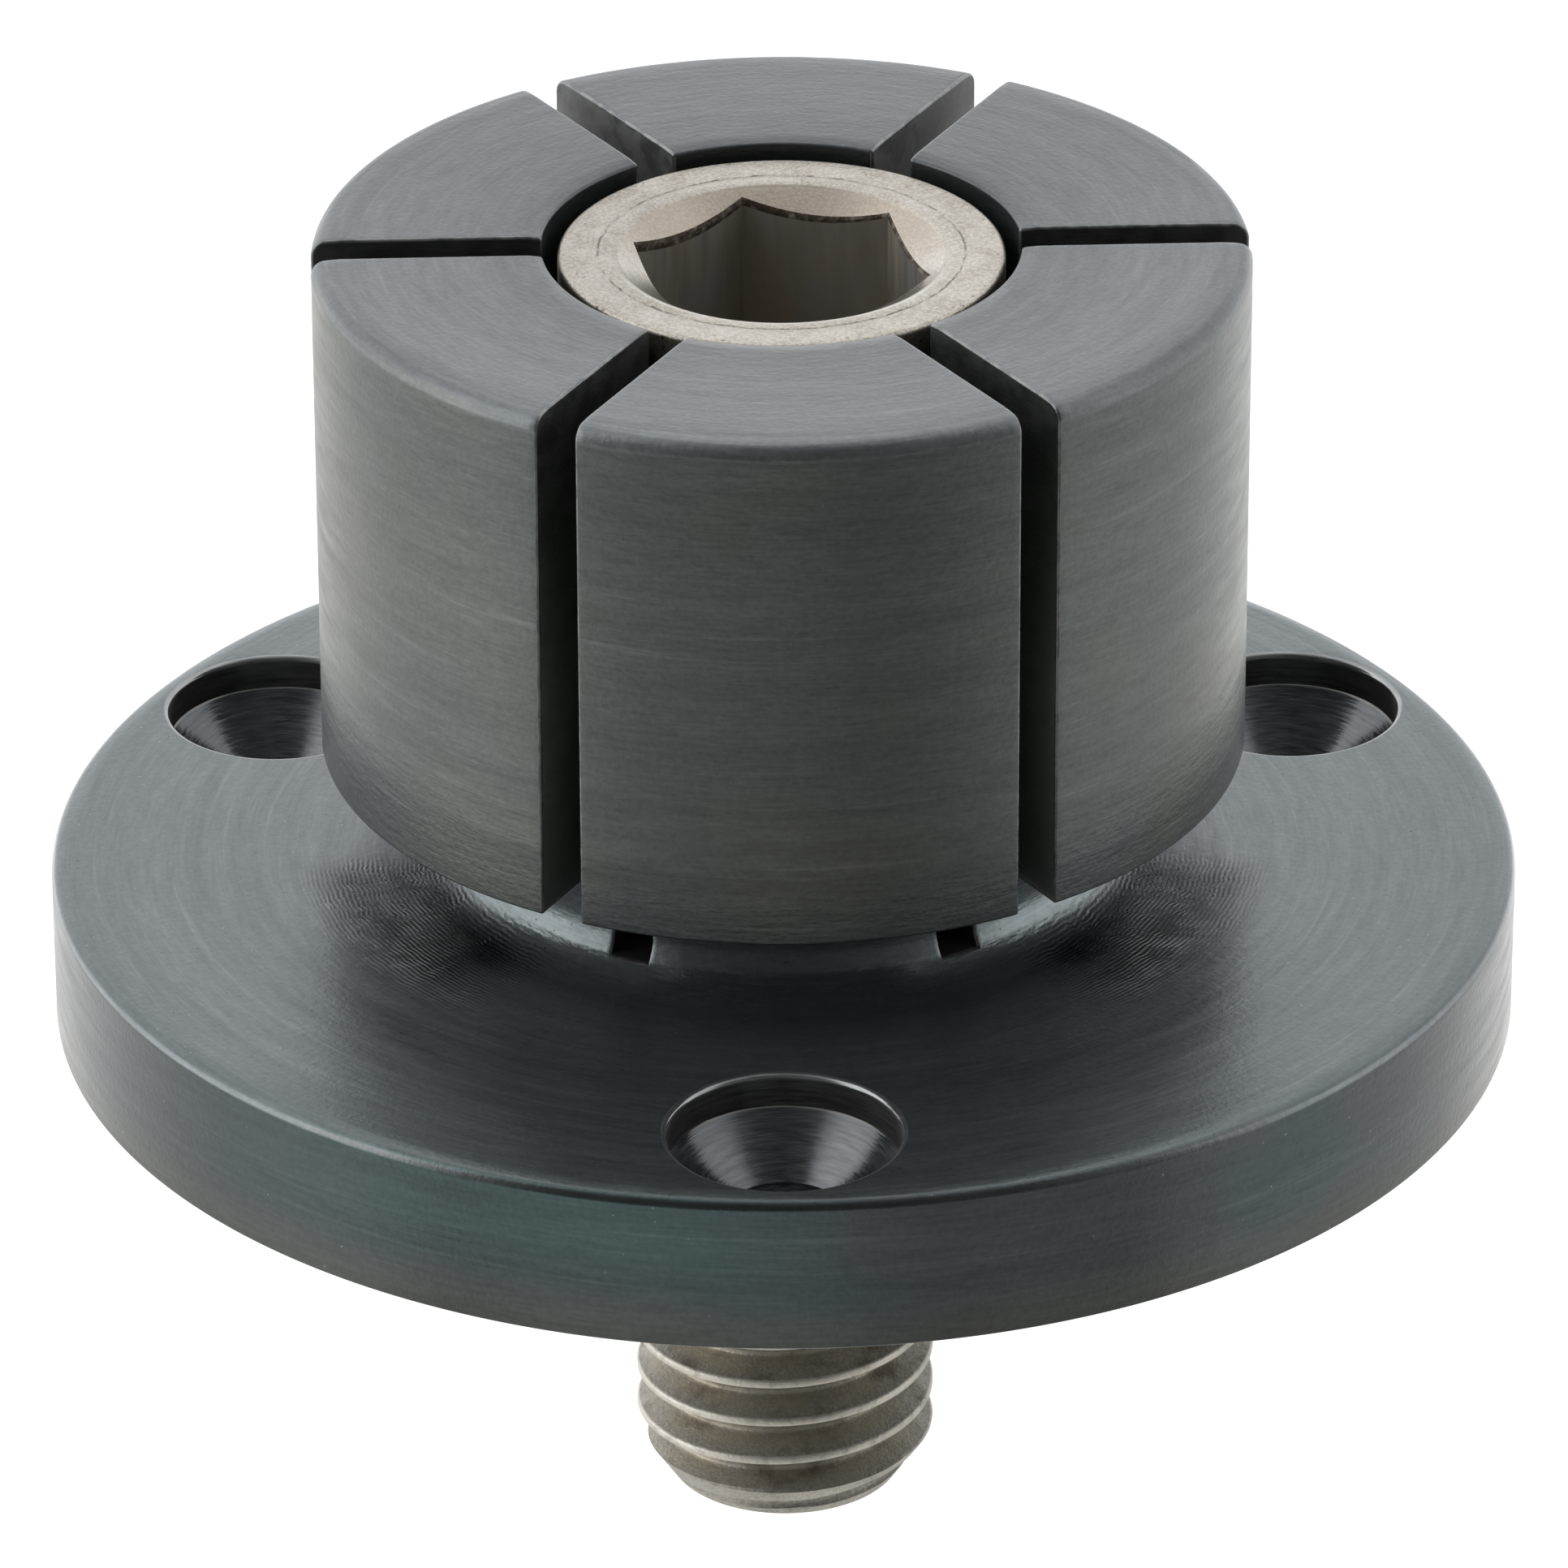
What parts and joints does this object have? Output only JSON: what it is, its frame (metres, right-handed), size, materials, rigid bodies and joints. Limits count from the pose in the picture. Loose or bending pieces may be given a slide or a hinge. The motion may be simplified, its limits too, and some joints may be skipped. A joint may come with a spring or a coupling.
{
  "type": "expanding mandrel",
  "caption": "Flanged expanding mandrel: a slit steel crown on a round flange, spread by a taper screw with a hexagon socket.",
  "frame": {"origin": "on the axis, in the plane of the flange underside", "axes": "+Z along the axis, from the flange up to the crown's open end; -Y through one mounting hole"},
  "size_m": [0.0572, 0.0572, 0.0537],
  "materials": {
    "blackened_steel": "turned steel with a black oxide coat, satin, with fine tool rings",
    "screw_steel": "plated steel, dull warm silver, tarnished in the thread"
  },
  "bodies": {
    "body": {"mandrel_body": "blackened_steel"},
    "screw": {"clamping_screw": "screw_steel"}
  },
  "joints": [
    {"name": "screw_turn", "type": "hinge", "parent": "body", "child": "screw", "pos_m": [0, 0, 0], "axis": [0, 0, 1], "continuous": true}
  ]
}
